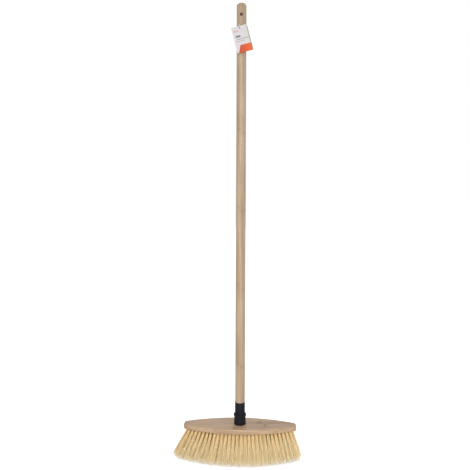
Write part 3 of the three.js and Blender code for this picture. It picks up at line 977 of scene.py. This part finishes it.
def screw_surface(low, high):
    """A wood screw between two box corners: thread on a tapering shank, then the head with a domed top."""
    seat = high.z - SCREW_HEAD_HEIGHT
    height = np.linspace(low.z, seat, 60)
    taper = np.clip((height - low.z) / SCREW_POINT, 0, 1)
    turn = np.arange(SCREW_SEGMENTS) / SCREW_SEGMENTS
    place = (height[:, None] - low.z) / SCREW_PITCH - turn[None]
    ridge = np.clip(1 - np.abs(place - np.round(place)) * 4, 0, 1)
    shank = SCREW_SHANK * taper[:, None] * (SCREW_ROOT + (1 - SCREW_ROOT) * ridge)
    head = rounded_profile(
        [
            (SCREW_SHANK * SCREW_ROOT, seat, 0),
            (SCREW_HEAD, seat, 0.0003),
            (SCREW_HEAD, seat + 0.0012, 0.0006),
            (SCREW_HEAD * 0.7, high.z, 0.0006),
            (0.0012, high.z, 0.0003),
            (0.0006, high.z - DRIVER_DEPTH, 0.0002),
            (0.0, high.z - DRIVER_DEPTH, 0),
        ]
    )
    points, faces = turned_surface([(shank, height), head], SCREW_SEGMENTS)
    return points + ((low.x + high.x) / 2, (low.y + high.y) / 2, 0.0), faces


for number, box in enumerate(screw_boxes, start=1):
    screw = new_piece(f"wood_screw_{number}", *screw_surface(*box), zinc_steel, "brush_head", "zinc_steel")
    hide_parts(f"socket_screw_{number}")

# %% [markdown]
# ## The handle's threaded tip
#
# The tip is one plastic moulding: a collar that the rod is glued and nailed into, and below it the stud
# with the outer thread. The stud's ridges lie midway between the socket's, half a pitch up, so that the two
# mesh.

# %% Tip surface
tip_low, tip_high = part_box("handle_tip")
COLLAR_RADIUS = tip_high.x
COLLAR_FOOT = SOCKET_TOP + GAP
CUP_RADIUS = 0.0113
CUP_FLOOR = COLLAR_FOOT + 0.0022


def tip_surface():
    """Stud's end, threaded stud, shoulder, collar and the cup for the rod, as one run of rings."""
    stud_foot = tip_low.z + THREAD_CHAMFER
    end = rounded_profile(
        [
            (0.0, tip_low.z, 0),
            (MALE_CORE - END_CHAMFER, tip_low.z, 0.0004),
            (MALE_CORE, stud_foot, 0),
        ]
    )
    height = np.linspace(stud_foot, COLLAR_FOOT - 0.0002, 72)
    male_start = FEMALE_START + THREAD_PITCH / 2
    stud = thread_radius(height, MALE_CORE, MALE_CREST, male_start, MALE_ENDS)
    collar = rounded_profile(
        [
            (MALE_CORE, COLLAR_FOOT, 0),
            (COLLAR_RADIUS, COLLAR_FOOT, 0.0006),
            (COLLAR_RADIUS, tip_high.z, 0.0007),
            (CUP_RADIUS, tip_high.z, 0.0002),
            (CUP_RADIUS, CUP_FLOOR, 0.0004),
            (0.0, CUP_FLOOR, 0),
        ]
    )
    return turned_surface([end, (stud, height), collar], SEGMENTS)


tip = new_piece("threaded_tip", *tip_surface(), black_plastic, "handle", "black_plastic")
sharpen(tip, 50)
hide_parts("handle_tip")

# %% Tip nail
nail_low, nail_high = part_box("tip_pin")


def nail_surface():
    """A nail along Y: a point, a shank and a domed head, turned about Z and then laid down."""
    length = nail_high.y - nail_low.y
    head_radius = (nail_high.x - nail_low.x) / 2
    shank_radius = head_radius * 0.55
    head_foot = length - 0.0008
    profile = rounded_profile(
        [
            (0.0, 0.0, 0),
            (shank_radius, 0.002, 0.0004),
            (shank_radius, head_foot, 0.0002),
            (head_radius, head_foot, 0.0001),
            (head_radius, (head_foot + length) / 2, 0.0003),
            (0.0, length, 0),
        ]
    )
    turned, faces = turned_surface([profile], SCREW_SEGMENTS)
    centre_x = (nail_low.x + nail_high.x) / 2
    centre_z = (nail_low.z + nail_high.z) / 2
    laid_down = [turned[:, 0] + centre_x, turned[:, 2] + nail_low.y, centre_z - turned[:, 1]]
    return np.column_stack(laid_down), faces


nail = new_piece("tip_nail", *nail_surface(), zinc_steel, "handle", "zinc_steel")
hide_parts("tip_pin")

# %% [markdown]
# ## The rod
#
# The rod is turned from glued bamboo. Its lower end is cut down to a spigot that fills the collar, and its
# top is a sanded dome. The hanging hole goes through from front to back: the rod's wall near it is unrolled
# flat, triangulated round two holes, and wrapped back, and the two rims are joined by the wall of the hole.
# On a cylinder the rim of a drilled hole is not a circle once unrolled, so the flat circle is squeezed to
# fit.

# %% Rod surface
rod_low, rod_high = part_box("handle")
ROD_RADIUS = rod_high.x
ROD_SPIGOT = 0.011
ROD_RINGS = (0.4, 0.8)
DOME_HEIGHT = 0.007
HANG_HOLE_RADIUS = 0.0045
HANG_HOLE_HEIGHT = rod_high.z - 0.034
HANG_HOLE_CHAMFER = 0.0011
HANG_HOLE_SIDES = 32
PATCH_HALF = 0.009
ROD_SEGMENTS = 96


def rod_patch(surface):
    """The wall round the hanging hole: (arc length, height) on a plane with both holes, wrapped round."""
    girth = 2 * math.pi * ROD_RADIUS
    step = girth / ROD_SEGMENTS
    across = np.arange(ROD_SEGMENTS + 1) * step - girth / 2
    bottom = np.column_stack([across, np.full(len(across), -PATCH_HALF)])
    top = np.column_stack([across[::-1], np.full(len(across), PATCH_HALF)])
    side_heights = np.linspace(-PATCH_HALF, PATCH_HALF, 12)[1:-1]
    right = np.column_stack([np.full(10, girth / 2), side_heights])
    left = np.column_stack([np.full(10, -girth / 2), side_heights[::-1]])
    border = np.concatenate([bottom, right, top, left])
    centres = [(-girth / 4, 0.0), (girth / 4, 0.0)]
    grid_x, grid_y = np.meshgrid(across[2:-2:2], side_heights)
    inner = np.column_stack([grid_x.ravel(), grid_y.ravel()])
    from_hole = np.abs(np.abs(inner[:, 0]) - girth / 4)
    mouth_radius = HANG_HOLE_RADIUS + HANG_HOLE_CHAMFER
    inner = inner[np.hypot(from_hole, inner[:, 1]) > mouth_radius * 1.2]
    flat, triangles = drilled_face(border, centres, mouth_radius, HANG_HOLE_SIDES, inner)
    side = np.sign(flat[:, 0])
    from_centre = flat[:, 0] - side * girth / 4
    near = np.hypot(from_centre, flat[:, 1]) < mouth_radius * 1.02
    squeezed = ROD_RADIUS * np.arcsin(np.clip(from_centre / ROD_RADIUS, -1, 1))
    arc = np.where(near, side * girth / 4 + squeezed, flat[:, 0])
    angle = arc / ROD_RADIUS
    round_rod = ROD_RADIUS * np.column_stack([np.cos(angle), np.sin(angle)])
    surface.add(np.column_stack([round_rod, flat[:, 1] + HANG_HOLE_HEIGHT]), triangles)


def hole_through_rod(surface):
    """The hanging hole's wall: rings along Y from the front mouth to the back one.

    Each mouth lies on the rod's own surface. One chamfer deeper the ring has the drill's radius, and from
    there the wall runs straight through."""
    depth = np.array([0.0, HANG_HOLE_CHAMFER])
    radius = HANG_HOLE_RADIUS + HANG_HOLE_CHAMFER - depth
    rims = np.stack([circle((0.0, 0.0), each, HANG_HOLE_SIDES) for each in radius])
    reach = np.sqrt(ROD_RADIUS**2 - rims[..., 0] ** 2) - depth[:, None]
    steps = np.linspace(-1, 1, 9)[:, None]
    y = np.concatenate([-reach[:1], steps * reach[1], reach[:1]])
    ring = np.concatenate([rims[:1], np.repeat(rims[1:], len(steps), axis=0), rims[:1]])
    surface.add_rings(np.stack([ring[..., 0], y, ring[..., 1] + HANG_HOLE_HEIGHT], axis=-1))


def rod_surface():
    """The rod from spigot to dome, with the drilled patch let in. Two rings split its long plain length."""
    surface = Surface()
    patch_foot = HANG_HOLE_HEIGHT - PATCH_HALF
    patch_top = HANG_HOLE_HEIGHT + PATCH_HALF
    lower = rounded_profile(
        [
            (0.0, rod_low.z, 0),
            (ROD_SPIGOT, rod_low.z, 0.0004),
            (ROD_SPIGOT, tip_high.z + GAP, 0.0002),
            (ROD_RADIUS, tip_high.z + GAP, 0.0007),
            *[(ROD_RADIUS, height, 0) for height in ROD_RINGS],
            (ROD_RADIUS, patch_foot, 0),
        ]
    )
    angle = np.linspace(0, math.pi / 2, 12)
    dome = (ROD_RADIUS * np.cos(angle) ** 0.85, rod_high.z - DOME_HEIGHT * (1 - np.sin(angle)))
    for profile in ([lower], [([ROD_RADIUS], [patch_top]), dome]):
        rings, (faces,) = turned_surface(profile, ROD_SEGMENTS)
        surface.add(rings, faces)
    rod_patch(surface)
    hole_through_rod(surface)
    return surface


def colour_hanging_hole(material):
    """Paints shade on the drilled wall as dark brown, and paints a pale highlight on the lower rim.

    Both follow the distance from the hole's axis, which is the length of (x, z - the hole's height)."""
    tree = material.node_tree
    shader = next(node for node in tree.nodes if node.bl_idname == "ShaderNodeBsdfPrincipled")
    colour = shader.inputs["Base Color"].links[0].from_socket
    down = (0, 0, -HANG_HOLE_HEIGHT)
    from_hole = add_node(tree, "ShaderNodeVectorMath", {"operation": "ADD"}, _0=own_place(tree), _1=down)
    flat = stretch(tree, from_hole.outputs[0], (1.0, 0.0, 1.0))
    distance = add_node(tree, "ShaderNodeVectorMath", {"operation": "LENGTH"}, _0=flat).outputs["Value"]
    rise = add_node(tree, "ShaderNodeSeparateXYZ", None, _0=flat).outputs[2]
    wall = ramp(tree, distance, HANG_HOLE_RADIUS + 0.0003, HANG_HOLE_RADIUS + 0.0001)
    rim_outside = HANG_HOLE_RADIUS + HANG_HOLE_CHAMFER
    rim = ramp(tree, distance, rim_outside + 0.0001, rim_outside - 0.0001)
    lower_rim_highlight = calculate(tree, "MULTIPLY", rim, ramp(tree, rise, -0.001, -0.0035))
    # Painted highlight: a pale lower rim.
    colour = mix_colours(tree, lower_rim_highlight, colour, (0.85, 0.66, 0.5, 1))
    # Painted shade: the drilled wall is dark brown.
    colour = mix_colours(tree, wall, colour, (0.3, 0.15, 0.07, 1))
    tree.links.new(colour, shader.inputs["Base Color"])


colour_hanging_hole(rod_bamboo)
rod_shape = rod_surface().arrays()
rod = new_piece("bamboo_rod", *rod_shape, rod_bamboo, "handle", "handle_bamboo", 5e-6)
sharpen(rod, 35)
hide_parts("handle")

# %% [markdown]
# ## The hang tag
#
# The tag is a folded white card, punched at the top, hanging a little askew on its loop. It is printed, but
# its print here is plain: a coloured band across its foot with a slanted end, and a few soft grey rules in
# place of words. Down its right edge runs a dark line of painted shadow. Print and shadow are drawn by the
# material from the card's own flat coordinates, in millimetres, which the card carries as its UV map.

# %% Tag print material
TAG_WIDTH = 0.043
TAG_HEIGHT = 0.070
TAG_EYELET_BELOW_TOP = 0.0053
TAG_EYELET_RADIUS = 0.0018
BAND_TOP = 20.0

# Each entry is its ink, its foot and head, its left and right end, in millimetres, and its strength. The last
# entry is no print: its dark colour is painted shadow down the card's right edge.
TAG_RULES_AND_SHADOW = [
    ((0.08, 0.09, 0.1, 1), 40.8, 46.3, 6, 19, 0.8),
    ((0.5, 0.16, 0.16, 1), 55.5, 60, 3, 16, 0.55),
    ((0.2, 0.22, 0.16, 1), 34.6, 36.8, 8, 40, 0.8),
    ((0.2, 0.22, 0.16, 1), 29.4, 31.2, 5, 27, 0.65),
    # Painted shadow down the card's right edge, not print.
    ((0.1, 0.11, 0.08, 1), 4, 66, 40.6, 42.6, 0.75),
]


def inside(tree, value, low, high, softness):
    """1 where value lies between low and high, and 0 outside, with soft ends."""
    start = ramp(tree, value, low - softness, low + softness)
    end = ramp(tree, value, high - softness, high + softness, 1.0, 0.0)
    return calculate(tree, "MULTIPLY", start, end)


def tag_material():
    """Coated card, greyer and greener towards its right edge, with a plain print and a painted shadow down
    that edge, placed in millimetres right of the left edge and up from the foot.
    """
    gloss = {"Specular_IOR_Level": 0.25, "Coat_Weight": 0.04, "Coat_Roughness": 0.3}
    material, tree, shader = start_material("tag_card", **gloss)
    place = add_node(tree, "ShaderNodeUVMap", {"uv_map": "card"}).outputs[0]
    parts = add_node(tree, "ShaderNodeSeparateXYZ", None, _0=place).outputs
    right, up = parts[0], parts[1]
    paper = noise(tree, place, 2.2, 4.0, 0.6)
    white = mix_colours(tree, paper, (0.45, 0.415, 0.44, 1), (0.53, 0.505, 0.505, 1))
    white = mix_colours(tree, ramp(tree, right, 20.0, 42.0, 0.0, 0.6), white, (0.46, 0.46, 0.41, 1))

    slanted_start = calculate(tree, "MULTIPLY_ADD", up, 0.43, 4.2)
    past_start = ramp(tree, calculate(tree, "SUBTRACT", right, slanted_start), -0.2, 0.2)
    band = calculate(tree, "MULTIPLY", past_start, inside(tree, up, -5.0, BAND_TOP, 0.15))
    along_band = ramp(tree, right, 8.0, 40.0)
    band_tone = mix_colours(tree, along_band, (0.42, 0.055, 0.02, 1), (0.56, 0.09, 0.018, 1))
    colour = mix_colours(tree, band, white, band_tone)

    for ink_or_shadow, foot, head, left_end, right_end, strength in TAG_RULES_AND_SHADOW:
        share = calculate(tree, "MULTIPLY", inside(tree, up, foot, head, 0.3), strength)
        share = calculate(tree, "MULTIPLY", share, inside(tree, right, left_end, right_end, 0.3))
        colour = mix_colours(tree, share, colour, ink_or_shadow)
    rough = calculate(tree, "MULTIPLY_ADD", paper, 0.2, 0.4)
    finish_surface(tree, shader, colour, rough, paper, 0.00003)
    return material


tag_card = tag_material()

# %% Tag surface
tag_joint = next(joint for joint in frame["joints"] if joint["name"] == "tag_swing")
EYELET = Vector(tag_joint["pos_m"])
TAG_TILT = math.radians(14.5)
CARD_THICKNESS = 0.00032
EYELET_SIDES = 24


def card_outline(corner_radius=0.0015, steps=5):
    """The card's outline, counter-clockwise, in metres from the eyelet: four short arcs."""
    right = TAG_WIDTH / 2 - corner_radius
    top = TAG_EYELET_BELOW_TOP - corner_radius
    bottom = TAG_EYELET_BELOW_TOP - TAG_HEIGHT + corner_radius
    corners = ((right, top, 0), (-right, top, 1), (-right, bottom, 2), (right, bottom, 3))
    arcs = []
    for x, y, quarter in corners:
        angle = np.linspace(0, math.pi / 2, steps) + quarter * math.pi / 2
        arcs.append(np.column_stack([x + corner_radius * np.cos(angle), y + corner_radius * np.sin(angle)]))
    return np.concatenate(arcs)


def leaf_surface(front, back, curl):
    """One leaf of the card: a front and a back face round the eyelet, and the edges between them.

    The leaf bows by curl metres at its foot, in proportion to the square of the distance below the eyelet.
    A grid of inner points lets it bow smoothly."""
    surface = Surface()
    border = card_outline()
    inner_x, inner_y = np.meshgrid(np.linspace(-0.017, 0.017, 8), np.linspace(-0.06, -0.006, 14))
    inner = np.column_stack([inner_x.ravel(), inner_y.ravel()])
    flat, triangles = drilled_face(border, [(0.0, 0.0)], TAG_EYELET_RADIUS, EYELET_SIDES, inner)
    rim = circle((0.0, 0.0), TAG_EYELET_RADIUS, EYELET_SIDES)

    def bowed(points, y):
        fall = np.clip(-points[:, 1] / TAG_HEIGHT, 0, 1)
        return np.column_stack([points[:, 0], y - curl * fall**2, points[:, 1]])

    surface.add(bowed(flat, front), triangles)
    surface.add(bowed(flat, back), triangles[:, ::-1])
    for loop in (border, rim):
        surface.add_rings(np.stack([bowed(loop, front), bowed(loop, back)]))
    return surface


def hang(points):
    """Card points turned by the tag's tilt about the eyelet and moved there."""
    x, y, z = points.T
    turned_x = x * math.cos(TAG_TILT) - z * math.sin(TAG_TILT)
    turned_z = x * math.sin(TAG_TILT) + z * math.cos(TAG_TILT)
    return np.column_stack([turned_x + EYELET.x, y + EYELET.y, turned_z + EYELET.z])


def card_places(piece):
    """Each point's place on the card in millimetres: right of the left edge and up from the foot."""
    places = np.empty(len(piece.data.vertices) * 3)
    piece.data.vertices.foreach_get("co", places)
    x, _, z = (places.reshape(-1, 3) - np.array(EYELET)).T
    flat_x = x * math.cos(TAG_TILT) + z * math.sin(TAG_TILT)
    flat_z = -x * math.sin(TAG_TILT) + z * math.cos(TAG_TILT)
    right = (flat_x + TAG_WIDTH / 2) * 1000
    up = (flat_z + TAG_HEIGHT - TAG_EYELET_BELOW_TOP) * 1000
    return np.column_stack([right, up])


# Each leaf is its name, where its front face is along Y, and how far its foot bows forwards.
TAG_LEAVES = (("tag_front_leaf", -0.0004, 0.0009), ("tag_back_leaf", 0.00006, 0.0))
for leaf_name, leaf_front, curl in TAG_LEAVES:
    leaf_points, leaf_faces = leaf_surface(leaf_front, leaf_front + CARD_THICKNESS, curl).arrays()
    piece = new_piece(leaf_name, hang(leaf_points), leaf_faces, tag_card, "hang_tag", "tag_card")
    add_map(piece, "card", card_places(piece))
    sharpen(piece, 30)
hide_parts("hang_tag")

# %% [markdown]
# ## The tag's loop
#
# A fine clear cord grips the rod, and a small ring of it passes through the eyelet. Both are round cords
# whose middle line is a circle, so each is a torus: a grid of the angle round the circle and the angle
# round the cord. Its UV map runs along and round the cord, and the fine lines left by drawing the plastic
# follow it.

# %% Loop surface
CORD_RADIUS = 0.0006
CORD_SLACK = 0.0004
RING_RADIUS = 0.005
BAND_RADIUS = ROD_RADIUS + CORD_SLACK + CORD_RADIUS
BAND_HEIGHT = EYELET.z + RING_RADIUS
RING_CENTRE_Y = -math.sqrt(BAND_RADIUS**2 - EYELET.x**2) - RING_RADIUS + CORD_SLACK


def torus(radius, steps, sides, centre, upright):
    """Points at radius + cord cos b round the circle and cord sin b along its axis: Z, or X if upright."""
    a = np.arange(steps + 1) / steps * 2 * math.pi
    b = np.arange(sides + 1) / sides * 2 * math.pi
    out = radius + CORD_RADIUS * np.cos(b)[None]
    first = out * np.cos(a)[:, None]
    second = out * np.sin(a)[:, None]
    third = np.broadcast_to(CORD_RADIUS * np.sin(b)[None], first.shape)
    order = (third, first, second) if upright else (first, second, third)
    return np.stack(order, axis=-1).reshape(-1, 3) + centre


def cord_piece(name, radius, steps, centre, upright):
    """A torus, mapped in cord thicknesses along the cord and once round it. Its seams are welded last."""
    sides = 12
    points = torus(radius, steps, sides, centre, upright)
    faces = [grid_faces(steps + 1, sides + 1)]
    piece = new_piece(name, points, faces, clear_elastic, "tag_band", "clear_elastic", weld=None)
    row, column = np.divmod(np.arange(len(points)), sides + 1)
    along = row / steps * round(math.pi * radius / CORD_RADIUS)
    add_map(piece, "cord", np.column_stack([along, column / sides]))
    weld_mesh(piece.data, 1e-6)
    return piece


band = cord_piece("cord_band", BAND_RADIUS, 96, (0.0, 0.0, BAND_HEIGHT), False)
ring = cord_piece("cord_ring", RING_RADIUS, 48, (EYELET.x, RING_CENTRE_Y, BAND_HEIGHT), True)
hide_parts("tag_loop")

# %% [markdown]
# ## The stage
#
# A wide round table of white acrylic, lit a little from within as in a product studio, so that the ground
# stays white and only a soft shadow ties the broom to it. The room is white all round, and one large soft
# light and a low one stand in front, so the faces turned to the viewer are the brightest. To the camera the
# room is brighter than the light it gives, which keeps the surroundings pure white.

# %% Floor
FLOOR_RADIUS = 40.0
FLOOR_GLOW = 0.4


def floor_surface():
    """A flat disc: rings of points at growing distance from the middle."""
    distance = FLOOR_RADIUS * np.linspace(0, 1, 12) ** 3
    return turned_surface([(distance, np.zeros(12))], 64)


def floor_material():
    """Matt white acrylic with the faintest mottling, which glows for the camera alone."""
    material, tree, shader = start_material("studio_white", Specular_IOR_Level=0.2)
    mottle = noise(tree, own_place(tree), 3.0, 3.0)
    colour = mix_colours(tree, mottle, (0.84, 0.84, 0.84, 1), (0.88, 0.88, 0.88, 1))
    rough = calculate(tree, "MULTIPLY_ADD", mottle, 0.1, 0.8)
    finish_surface(tree, shader, colour, rough)
    to_camera = add_node(tree, "ShaderNodeLightPath").outputs["Is Camera Ray"]
    strength = calculate(tree, "MULTIPLY", to_camera, FLOOR_GLOW)
    glow = add_node(tree, "ShaderNodeEmission", None, Strength=strength)
    both = add_node(tree, "ShaderNodeAddShader", None, _0=shader.outputs[0], _1=glow.outputs[0])
    tree.links.new(both.outputs[0], tree.nodes["Material Output"].inputs[0])
    return material


floor_mesh = bpy.data.meshes.new("studio_floor")
fill_mesh(floor_mesh, *floor_surface())
floor_mesh.materials.append(floor_material())
studio_floor = add_object("studio_floor", floor_mesh)


# %% Lights
def soft_light(name, place, target, size, power):
    """A square area light that faces a point."""
    data = bpy.data.lights.new(name, "AREA")
    data.size = size
    data.energy = power
    light = add_object(name, data)
    light.location = place
    light.rotation_euler = (Vector(target) - Vector(place)).to_track_quat("-Z", "Y").to_euler()


soft_light("key", (0, -2.6, 1.3), (0, 0, 0.5), 1.6, 24)
soft_light("low_key", (0.2, -2.2, 0.35), (0, 0, 0.05), 1.2, 16)

LIGHT_GIVEN = 0.95
LIGHT_SEEN = 1.0
world = bpy.data.worlds.new("studio")
world.use_nodes = True
room = world.node_tree
room.nodes.clear()
giving = add_node(room, "ShaderNodeBackground", None, Color=(1, 1, 1, 1), Strength=LIGHT_GIVEN)
seen = add_node(room, "ShaderNodeBackground", None, Color=(1, 1, 1, 1), Strength=LIGHT_SEEN)
to_camera = add_node(room, "ShaderNodeLightPath").outputs["Is Camera Ray"]
both = add_node(room, "ShaderNodeMixShader", None, _0=to_camera, _1=giving.outputs[0], _2=seen.outputs[0])
room.links.new(both.outputs[0], room.nodes.new("ShaderNodeOutputWorld").inputs[0])
bpy.context.scene.world = world
bpy.context.scene.view_settings.view_transform = "Standard"
